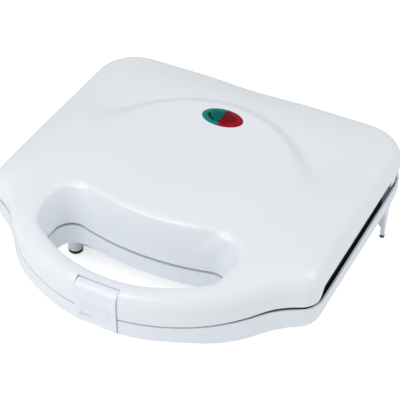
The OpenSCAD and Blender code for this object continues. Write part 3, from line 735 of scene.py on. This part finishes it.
@dataclass
class Opening:
    """One outline of the finger opening: two rounded ends between two bows.

    Attributes:
        front_r: radius of the front bow, about (0, centre_y).
        low_r: radius of the corner between the front bow and an end.
        low_a: the angle in degrees at which the front bow meets that corner.
        end_r: radius of an end, about (end_x, end_y).
        bow_r: radius of the rear bow.
        steps: points on the front bow, the corner, the end and the rear bow.
    """

    front_r: float
    low_r: float
    low_a: float
    end_r: float
    end_x: float
    end_y: float
    bow_r: float
    centre_y: float = -3.0
    steps: tuple[int, int, int, int] = (60, 30, 40, 60)

    def path(self, grow: float = 0.0) -> Array:
        """The outline: an arc for each bow and each rounding, mirrored to both sides.

        Args:
            grow: how far it is moved outwards.

        Returns:
            The closed outline, points by 2.
        """
        front_n, low_n, end_n, bow_n = self.steps
        turn = math.radians(self.low_a)
        low = np.array([math.cos(turn), math.sin(turn)]) * (self.front_r - self.low_r) + [0, self.centre_y]
        up = np.array([self.end_x, self.end_y])
        lean = math.degrees(math.atan2(*(up - low)[::-1]))
        flat = lean - math.degrees(math.acos((self.low_r - self.end_r) / np.hypot(*(up - low))))
        bow_y = self.end_y + math.sqrt((self.bow_r + self.end_r) ** 2 - self.end_x ** 2)
        bow = math.degrees(math.atan2(self.end_y - bow_y, self.end_x))
        half = np.concatenate([
            arc(0, self.centre_y, self.front_r + grow, -90, self.low_a, front_n),
            arc(*low, self.low_r + grow, self.low_a, flat, low_n),
            arc(*up, self.end_r + grow, flat, bow + 180, end_n),
            arc(0, bow_y, self.bow_r - grow, bow, -90, bow_n)])
        return both_sides(half)


@dataclass
class Crown:
    """The lid's top: a shoulder that rises to a shallow round disc with a step at its rear.

    Attributes:
        disc_mid: height of the disc's middle; disc_top and disc_side are its rim's at the rear and sides.
        disc_step: height of the step at the rear.
        step_from: sine of the angle at which the step starts; step_run is the way over which it grows.
        foot: how far outside the disc the shoulder's curve ends.
        blend_rear: half the step's width at the rear; blend_side is half of it at the sides.
        blend_from: sine of the angle at which the width starts to change, over blend_run.
        power: power of the shoulder's curve.
    """

    plan: Plan
    disc_r: float = 80.5
    disc_y: float = -9.2
    disc_mid: float = 33.0
    disc_top: float = 34.4
    disc_side: float = 28.4
    disc_step: float = 4.2
    step_from: float = 0.22
    step_run: float = 0.42
    foot: float = 3.0
    blend_rear: float = 5.4
    blend_side: float = 14.0
    blend_from: float = 0.2
    blend_run: float = 0.5
    power: float = 1.8

    def rim(self, angle: Array) -> Array:
        """Height of the disc's rim: from the sides it rises to the rear and falls to the handle,
        with the square of the sine.

        Args:
            angle: directions from the disc's centre, in radians.

        Returns:
            The height in each direction.
        """
        lift = np.where(np.sin(angle) > 0, self.disc_top, self.plan.lid_edge) - self.disc_side
        return self.disc_side + lift * np.sin(angle) ** 2

    def height(self, x: Array, y: Array) -> Array:
        """Height above the parting plane, without the shoulder's rounding.

        Outside the disc it is the shoulder's height plus a power curve of the way from the outline
        to the disc; inside it is a paraboloid. The two meet in an even ramp, the disc's step, which
        is short at the rear and long at the sides, where the step fades out.

        Args:
            x: places across the toaster.
            y: places along it.

        Returns:
            The height at each place.
        """
        angle = np.arctan2(y - self.disc_y, x)
        out = np.hypot(x, y - self.disc_y)
        far = polar_reach(self.plan.path(), np.array([0, self.disc_y]), angle)
        step = self.disc_step * ramp((np.sin(angle) - self.step_from) / self.step_run)
        rim = self.rim(angle)
        way = np.clip((far - out) / (far - self.disc_r - self.foot), 0, 1)
        rise = (rim - step - self.plan.lid_edge) * (1 - (1 - way) ** self.power)
        inner = self.disc_mid + (rim - self.disc_mid) * (out / self.disc_r) ** 2
        at_rear = ramp((np.sin(angle) - self.blend_from) / self.blend_run)
        blend = self.blend_side + (self.blend_rear - self.blend_side) * at_rear
        inside = ramp((self.disc_r + blend - out) / (2 * blend))
        return (self.plan.lid_edge + rise) * (1 - inside) + inner * inside


@dataclass
class LidShell:
    """The moulded lid with its scooped finger opening, built round a hub inside that opening.

    Attributes:
        low: the opening's outline at the parting plane; high is its outline in the crown.
        low_weight: weight of the opening's length against the outline's when columns are spread.
        lip: how far outside the high outline the rounded lip starts.
        lip_lead: how much further out the ring before it lies.
        lip_floor: least share of the lip where the bar is narrow.
        lip_margin: what stays free between the lip and the shoulder.
        lip_curve: the lip's rings, as the way out and the drop under the crown.
        scoop_curve: the wall's rings, as shares of the way out and of the height.
        sill_rings: heights of the wall's last rings.
        edge_round: width of the edge that turns under at the wall's foot.
        edge_break: how far the side wall's lowest ring is chamfered.
        under_lead: how far outside the scoop's wall the inner skin starts.
        wall_rings: shares of the side wall's height at which it has rings.
        shoulder_rings: rings on the shoulder; inner_rings is their number on the inner skin's.
        crown_rings: rings on the crown; under_rings is their number under it.
        scoop_steps: points between the scoop's rings.
    """

    plan: Plan
    crown: Crown
    low: Opening = field(default_factory=lambda: Opening(
        front_r=96.5, low_r=9, low_a=-54, end_r=12, end_x=48.5, end_y=-62.5, bow_r=173))
    high: Opening = field(default_factory=lambda: Opening(
        front_r=97.8, low_r=13, low_a=-53, end_r=17.5, end_x=48.5, end_y=-60, bow_r=150))
    columns: int = 440
    low_weight: float = 1.6
    lip: float = 4.0
    lip_lead: float = 1.2
    lip_floor: float = 0.3
    lip_margin: float = 0.6
    lip_curve: Stops = ((2.4, 0.2), (1.1, 0.8))
    scoop_curve: Stops = (
        (0.97, 0.955), (0.88, 0.925), (0.75, 0.86), (0.48, 0.70), (0.22, 0.50), (0.07, 0.30), (0.0, 0.12))
    sill_rings: Pair = (1.8, 1.3)
    edge_round: float = 0.5
    edge_break: float = 0.6
    under_lead: float = 1.0
    wall_rings: Triple = (0, 0.3, 0.65)
    shoulder_rings: int = 10
    crown_rings: int = 111
    scoop_steps: int = 3
    under_rings: int = 25
    inner_rings: int = 5
    crease: float = 38.0

    def __post_init__(self) -> None:
        """Spreads the columns evenly along the outer and the inner outline together."""
        hub = np.array(self.plan.hub)
        fine = np.linspace(-math.pi, math.pi, FINE_STEPS)
        walk = np.zeros(len(fine))
        for path, weight in ((self.plan.path(), 1.0), (self.low.path(), self.low_weight)):
            reach = polar_reach(path, hub, fine)
            spot = np.stack([reach * np.cos(fine), reach * np.sin(fine)], -1)
            walk[1:] += weight * np.cumsum(np.hypot(*np.diff(spot, axis=0).T))
        even = np.linspace(0, walk[-1], self.columns, endpoint=False)
        self.angle = np.interp(even, walk, fine)
        self.way = np.stack([np.cos(self.angle), np.sin(self.angle)], -1)
        room = self.reach(self.plan.path(self.plan.lid_round)) - self.reach(self.high.path())
        self.lip_share = np.clip((room - self.lip_margin) / (self.lip + self.lip_lead), self.lip_floor, 1.0)

    def reach(self, path: Array) -> Array:
        """Distance from the hub to an outline.

        Args:
            path: the outline.

        Returns:
            The distance on each column.
        """
        return polar_reach(path, np.array(self.plan.hub), self.angle)

    def ring(self, reach: Array, height: Array | float | None = None, drop: float = 0.0) -> Array:
        """One ring of points: hub plus reach times the column's direction.

        Args:
            reach: distance from the hub, per column.
            height: height above the parting plane; the crown's own height where it is None.
            drop: how far the ring lies under that height.

        Returns:
            Columns by 3.
        """
        spot = np.array(self.plan.hub) + self.way * reach[:, None]
        if height is None:
            height = self.crown.height(spot[:, 0], spot[:, 1])
        z = np.zeros(len(spot)) + height - drop + self.plan.parting
        return np.concatenate([spot, z[:, None]], 1)

    def side_rings(self, inset: float, drop: float, steps: int) -> list[Array]:
        """The side wall and the rounded shoulder, from the lower edge to the crown.

        The shoulder is a quarter circle whose height is added to the crown's rise.

        Args:
            inset: how far inside the outline the wall stands.
            drop: how far the shoulder lies under the crown.
            steps: rings on the shoulder.

        Returns:
            The rings, from the lowest.
        """
        plan = self.plan
        r = plan.lid_round - inset
        outline = self.reach(plan.path(inset))
        edge = plan.gap_height(self.ring(outline, 0)[:, 1])
        spring = plan.lid_edge - plan.lid_round
        rings = [self.ring(outline, edge + (spring - edge) * t) for t in self.wall_rings]
        for turn in np.radians(np.linspace(0, 90, steps)):
            reach = self.reach(plan.path(inset + r * (1 - math.cos(turn))))
            ring = self.ring(reach)
            ring[:, 2] += r * (math.sin(turn) - 1) - drop
            rings.append(ring)
        return rings

    def scoop_rings(self) -> list[Array]:
        """The scoop's rounded lip and its trumpet wall.

        Returns:
            The rings, from the crown down to the opening.
        """
        low, high = self.reach(self.low.path()), self.reach(self.high.path())
        top = self.ring(high)[:, 2] - self.plan.parting
        rings = [self.ring(high + self.lip_share * out, None, drop)
                 for out, drop in ((self.lip, 0.0), *self.lip_curve)]
        rings += [self.ring(low + f * (high - low), g * top) for f, g in self.scoop_curve]
        return rings + [self.ring(low, height) for height in self.sill_rings]

    def build(self) -> Mesh:
        """The closed shell: outer skin, opening's edge, inner skin and lower edge, ring by ring.

        Returns:
            The shell's mesh.
        """
        plan = self.plan
        outer = self.side_rings(0.0, 0.0, self.shoulder_rings)
        brow = self.reach(plan.path(plan.lid_round))
        lip = self.reach(self.high.path()) + self.lip_share * (self.lip + self.lip_lead)
        across = [self.ring(brow + (lip - brow) * t) for t in np.linspace(0, 1, self.crown_rings + 1)[1:]]
        scoop = list(softened(np.array(self.scoop_rings()), self.scoop_steps))
        low, high = self.reach(self.low.path(plan.wall)), self.reach(self.high.path(plan.wall))
        top = self.ring(high)[:, 2] - plan.parting - plan.wall
        sill = plan.thin_gap + plan.shadow_gap
        edge = [self.ring(self.reach(self.low.path(self.edge_round)), sill), self.ring(low, sill)]
        back = [self.ring(low + f * (high - low), g * top) for f, g in self.scoop_curve[::-1]]
        inner_lip = high + self.under_lead
        under = [self.ring(inner_lip + (brow - inner_lip) * t, None, plan.wall)
                 for t in np.linspace(0, 1, self.under_rings + 1)[:-1]]
        inner = self.side_rings(plan.wall, plan.wall, self.inner_rings)[::-1]
        rim = self.side_rings(self.edge_break, 0.0, 2)[:1]
        outer[0][:, 2] += self.edge_break
        rows = np.array(rim + outer + across + scoop + edge + back + under + inner)
        return grid_mesh("lid_shell_skin", rows, round_rows=True)


@dataclass
class Latch:
    """The notch in the lid's handle and the pocket in which the clip hangs.

    Attributes:
        clip_w: the clip's width.
        clip_r: radius of its rolled top, about the pin.
        play: gap between the clip and the handle.
        pin_lift: height of the pin over the parting plane.
        web: thickness of the pocket's wall; cheek_t is its cheeks'.
        overlap: how far the pocket's wall reaches into the cheeks.
        past: how far the cutting solid stands out of the handle, in front and on top.
        cut_low: height of the cutting solid's underside.
        step: how far the notch's flat back stands before the pin.
        wall_turn: the pocket wall's first and last angle about the pin, in degrees.
        cheek_form: the cheek's outline, as Y from the pin and Z from the parting plane.
        steps: points round the notch's end and along the pocket's wall.
        crease: the pocket's crease.
    """

    plan: Plan
    clip_w: float = 28.4
    clip_r: float = 6.0
    play: float = 0.4
    pin_lift: float = 12.6
    web: float = 1.6
    cheek_t: float = 1.8
    overlap: float = 0.2
    past: Pair = (4.0, 6.0)
    cut_low: float = 20.0
    step: float = 0.1
    wall_turn: Pair = (62, -90)
    steps: tuple[int, int] = (20, 23)
    crease: float = 30.0
    cheek_form: Stops = ((-3.4, 0.6), (9.0, 0.6), (9.0, 18.0), (-1.0, 18.0), (-3.4, 11.0))

    def __post_init__(self) -> None:
        """Works out the pin's place, half the notch's width and the notch's radius."""
        self.pin = np.array([self.clip_r - self.plan.depth / 2, self.plan.parting + self.pin_lift])
        self.half = self.clip_w / 2 + self.play
        self.r = self.clip_r + self.play

    def notch(self) -> Mesh:
        """The notch's cutting solid: a slot in front of the pin with a round end behind it.

        Returns:
            The solid's mesh.
        """
        turn = arc(*self.pin, self.r, 90, -90, self.steps[0])
        front = self.pin[0] - self.clip_r - self.past[0]
        back = self.pin[0] - self.step
        top = self.plan.parting + self.plan.lid_edge + self.past[1]
        outline = np.concatenate([[[front, top], [back, top]], turn[1:-1],
                                  [[back, turn[-1, 1]], [back, self.cut_low], [front, self.cut_low]]])
        return prism("notch_tool", outline, -self.half, self.half, axis=0)

    def pocket(self) -> Mesh:
        """The curved wall round the clip's rolled top.

        Returns:
            The wall's mesh.
        """
        inner = arc(*self.pin, self.r, *self.wall_turn, self.steps[1])
        outer = arc(*self.pin, self.r + self.web, *self.wall_turn, self.steps[1])
        reach = self.half + self.overlap
        return prism("latch_pocket", np.concatenate([inner, outer[::-1]]), -reach, reach, axis=0)

    def cheek(self, side: Side) -> Mesh:
        """One cheek of the notch, from the parting edge to the shoulder.

        Args:
            side: the side on which it stands.

        Returns:
            The cheek's mesh.
        """
        outline = np.array(self.cheek_form) + [self.pin[0], self.plan.parting]
        low, high = sorted((side.value * self.half, side.value * (self.half + self.cheek_t)))
        return prism("latch_cheek", outline, low, high, axis=0)


@dataclass
class Window:
    """The oval lamp window on the disc, green on the left and red on the right.

    Attributes:
        play: gap between the window and its hole.
        skirt: how far the window reaches down into the lid.
        rise: how far its rim stands over the disc.
        bulge: height of its dome over the rim.
        power: power of the dome's curve.
        split: half of the gap between the two halves.
        cut: how far the cutting solid reaches up and down.
        way: the dome's rings, as shares of the way out.
        steps: points round the hole and round one half.
    """

    crown: Crown
    length: float = WINDOW_SIZE[0]
    depth: float = WINDOW_SIZE[1]
    centre_y: float = WINDOW_SPOT[1]
    play: float = 0.15
    skirt: float = 5.0
    rise: float = 0.1
    bulge: float = 1.1
    power: float = 2.6
    split: float = 0.04
    cut: float = 9.0
    way: tuple[float, ...] = (0, 0.15, 0.35, 0.55, 0.72, 0.85, 0.93, 0.975, 0.995, 1.0)
    steps: tuple[int, int] = (72, 40)
    crease: float = 40.0

    def __post_init__(self) -> None:
        """Works out the height of the disc at the window's centre."""
        spot = np.array([0.0]), np.array([self.centre_y])
        self.top = float(self.crown.height(*spot)[0]) + self.crown.plan.parting

    def hole(self) -> Mesh:
        """The window's cutting solid.

        Returns:
            The solid's mesh.
        """
        angle = np.radians(np.linspace(0, 360, self.steps[0], endpoint=False))
        outline = np.stack([(self.length / 2 + self.play) * np.cos(angle),
                            self.centre_y + (self.depth / 2 + self.play) * np.sin(angle)], -1)
        return prism("window_tool", outline, self.top - self.cut, self.top + self.cut)

    def half(self, side: Side) -> Mesh:
        """One half of the window: an ellipse's half with a skirt, and a dome over it.

        The dome's height is the bulge times one minus a power of the way out.

        Args:
            side: the side on which it lies.

        Returns:
            The closed mesh.
        """
        angle = np.radians(np.linspace(-90, 90, self.steps[1]))
        way = np.array(self.way)[:, None]
        x = self.split + way * (self.length / 2 - self.split) * np.cos(angle)
        y = self.centre_y + way * self.depth / 2 * np.sin(angle)
        z = self.top + self.rise + self.bulge * (1 - way ** self.power)
        dome = np.stack([x, y, np.broadcast_to(z, x.shape)], -1)[::-1]
        skirt = dome[:1].copy()
        skirt[:, :, 2] = self.top - self.skirt
        rows = np.concatenate([skirt, dome])
        rows[:, :, 0] *= side.value
        mesh = grid_mesh("window_half", rows)
        close_ends(mesh)
        return smooth(mesh, self.crease)


# -------- assemblies


@dataclass
class Lid:
    """Everything that swings with the lid."""

    plan: Plan
    body: str = "lid"

    def build(self) -> None:
        """Builds the lid's own mouldings and window."""
        crown = Crown(self.plan)
        latch = Latch(self.plan)
        window = Window(crown)
        shell = LidShell(self.plan, crown)
        skin = shell.build()
        close_ends(skin)
        skin = smooth(carve(skin, [latch.notch(), window.hole()]), shell.crease)
        make_piece("lid_moulding", skin, self.body, Finishes.LID, ["lid_shell"])
        for side in Side:
            make_piece(f"{side.name.lower()}_latch_cheek", smooth(latch.cheek(side)), self.body,
                       Finishes.LID)
        make_piece("latch_pocket", smooth(latch.pocket(), latch.crease), self.body, Finishes.LID)
        for colour, side, finish in (("green", Side.LEFT, Finishes.GREEN), ("red", Side.RIGHT, Finishes.RED)):
            lens = f"{colour}_lens"
            make_piece(f"{colour}_window", window.half(side), self.body, finish, [lens])


@dataclass
class Base:
    """The base's own moulding, with its legs and posts."""

    crease: float = 30.0
    body: str = "base"

    def build(self) -> None:
        """Builds the moulding from the CAD solid's own form."""
        make_piece("base_moulding", merged_copy("base_shell", self.crease, even=True), self.body,
                   Finishes.BASE, ["base_shell"])


class Dresser:
    """Gives each carried-over CAD node its finish."""

    FINISH_OF = {
        Finishes.NON_STICK: ("lower_plate", "upper_plate"),
        Finishes.HEATER: ("lower_heater", "upper_heater"),
        Finishes.ZINC: ("lower_heater_clips", "upper_heater_clips", "lower_plate_screws",
                        "upper_plate_screws", "left_hinge_bracket", "right_hinge_bracket",
                        "hinge_bracket_screws", "left_hinge_arm", "right_hinge_arm", "hinge_arm_screws"),
        Finishes.PIN: ("left_hinge_pin", "right_hinge_pin", "lead_tube", "latch_pin"),
        Finishes.SHEET: ("lower_reflector", "upper_reflector"),
        Finishes.CERAMIC: ("thermostat",),
        Finishes.IVORY: ("thermal_fuse", "terminal_block", "lamp_holder"),
        Finishes.RED_WIRE: ("base_wiring",),
        Finishes.SLEEVE: ("lid_wiring",),
        Finishes.BASE: ("cord_gland",),
        Finishes.BLACK_RUBBER: ("front_feet",),
        Finishes.GREY_RUBBER: ("rear_feet",),
        Finishes.CLIP: ("latch_clip",),
        Finishes.NEON: ("green_lamp", "red_lamp"),
    }
    SMOOTHED = ("lower_plate", "upper_plate", "latch_clip", "left_hinge_bracket", "right_hinge_bracket",
                "left_hinge_arm", "right_hinge_arm", "lid_wiring", "base_wiring", "front_feet")

    def build(self) -> None:
        """Dresses every node; the curved ones become merged copies that are shaded smooth."""
        for finish, nodes in self.FINISH_OF.items():
            for node in nodes:
                part = frame["nodes"][node]
                if node in self.SMOOTHED:
                    make_piece(f"{node}_skin", merged_copy(node), part["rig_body"], finish, [node])
                else:
                    part.data.materials.clear()
                    part.data.materials.append(finish.build())
                    log.info("%s: %s", node, finish.name)


# -------- studio


@dataclass(frozen=True)
class Lamp:
    """A square soft lamp that faces the toaster.

    Attributes:
        name: the lamp's name.
        spot: its place in metres.
        size: its side in metres.
        power: watts.
    """

    name: str
    spot: Triple
    size: float
    power: float

    def build(self, aim: Vector) -> None:
        """Hangs the lamp.

        Args:
            aim: the point that it faces, in metres.
        """
        data = bpy.data.lights.new(self.name, "AREA")
        data.shape = "SQUARE"
        data.size = self.size
        data.energy = self.power
        lamp = placed(self.name, data)
        lamp.location = self.spot
        lamp.rotation_euler = (aim - Vector(self.spot)).to_track_quat("-Z", "Y").to_euler()


@dataclass
class Studio:
    """Camera, floor and lamps.

    Attributes:
        azimuth: the camera's turn from the front to the right, in degrees.
        elevation: its height angle in degrees; roll is its turn about its line of sight.
        target: the point that it faces; distance is how far off it stands.
        floor_lift: the light that the floor gives off towards the camera alone.
        sky: the sky's colour, and sky_strength its strength on the toaster.
        aim: the point that the lamps face, in metres.
    """

    azimuth: float = 27.23
    elevation: float = 40.42
    roll: float = 0.35
    target: Triple = (7.32, 7.61, 45.0)
    distance: float = 853.6
    lens: float = 117.54
    sensor: float = 36.0
    clip: Pair = (0.05, 20.0)
    floor_half: float = 6.0
    floor_tint: Triple = (0.97, 0.97, 0.97)
    floor_rough: float = 0.9
    floor_specular: float = 0.1
    floor_lift: float = 0.6
    sky: Triple = (0.95, 0.975, 1.0)
    sky_strength: float = 0.5
    aim: Triple = (0, 0, 0.04)
    lamps: tuple[Lamp, ...] = (
        Lamp("key", (-0.6, -1.15, 1.45), 1.0, 11.5),
        Lamp("right", (1.2, 0.5, 1.4), 1.2, 9.2),
        Lamp("front", (-1.3, -1.1, 0.8), 1.4, 4.2))

    def camera(self) -> None:
        """Stands the camera on its line of sight, rolled about it."""
        data = bpy.data.cameras.new("camera")
        data.lens = self.lens
        data.sensor_width = self.sensor
        data.clip_start, data.clip_end = self.clip
        camera = placed("camera", data)
        turn, tilt, roll = map(math.radians, (self.azimuth, self.elevation, self.roll))
        back = Vector((math.sin(turn) * math.cos(tilt), -math.cos(turn) * math.cos(tilt), math.sin(tilt)))
        right = Vector((0, 0, 1)).cross(back).normalized()
        up = back.cross(right)
        side = right * math.cos(roll) + up * math.sin(roll)
        top = up * math.cos(roll) - right * math.sin(roll)
        spot = (Vector(self.target) + back * self.distance) * MM
        axes = Matrix((side, top, back)).transposed().to_4x4()
        camera.matrix_world = Matrix.Translation(spot) @ axes
        bpy.context.scene.camera = camera

    def floor(self) -> None:
        """A wide pale floor, which keeps the toaster's shadow."""
        mesh = bpy.data.meshes.new("floor")
        size = self.floor_half
        mesh.from_pydata([(-size, -size, 0), (size, -size, 0), (size, size, 0), (-size, size, 0)], [],
                         [(0, 1, 2, 3)])
        floor = placed("floor", mesh)
        material = bpy.data.materials.new("floor")
        nodes = Nodes(material)
        seen = nodes.add("LightPath", {}).outputs["Is Camera Ray"]
        lift = nodes.add("Math", {0: seen, 1: self.floor_lift}, operation="MULTIPLY")
        shader = nodes.add("BsdfPrincipled", {
            "Base Color": (*self.floor_tint, 1),
            "Roughness": self.floor_rough,
            "Specular IOR Level": self.floor_specular,
            "Emission Color": (1, 1, 1, 1),
            "Emission Strength": lift.outputs["Value"]})
        nodes.add("OutputMaterial", {"Surface": shader.outputs["BSDF"]})
        mesh.materials.append(material)

    def world(self) -> None:
        """An even sky that the camera sees as white."""
        world = bpy.data.worlds.new("sky")
        bpy.context.scene.world = world
        nodes = Nodes(world)
        seen = nodes.add("LightPath", {}).outputs["Is Camera Ray"]
        dim = nodes.add("Background", {"Color": (*self.sky, 1), "Strength": self.sky_strength})
        white = nodes.add("Background", {"Color": (1, 1, 1, 1), "Strength": 1.0})
        mix = nodes.add("MixShader", {"Fac": seen, 1: dim.outputs[0], 2: white.outputs[0]})
        nodes.add("OutputWorld", {"Surface": mix.outputs[0]})

    def build(self) -> None:
        """Sets up the whole studio."""
        self.camera()
        self.floor()
        self.world()
        for lamp in self.lamps:
            lamp.build(Vector(self.aim))
        bpy.context.scene.view_settings.view_transform = "Standard"


def main() -> None:
    """Builds every assembly in order."""
    logging.basicConfig(level=logging.INFO, format="%(name)s: %(message)s")
    plan = Plan()
    Studio().build()
    Lid(plan).build()
    Base().build()
    Dresser().build()


if __name__ == "__main__":
    main()
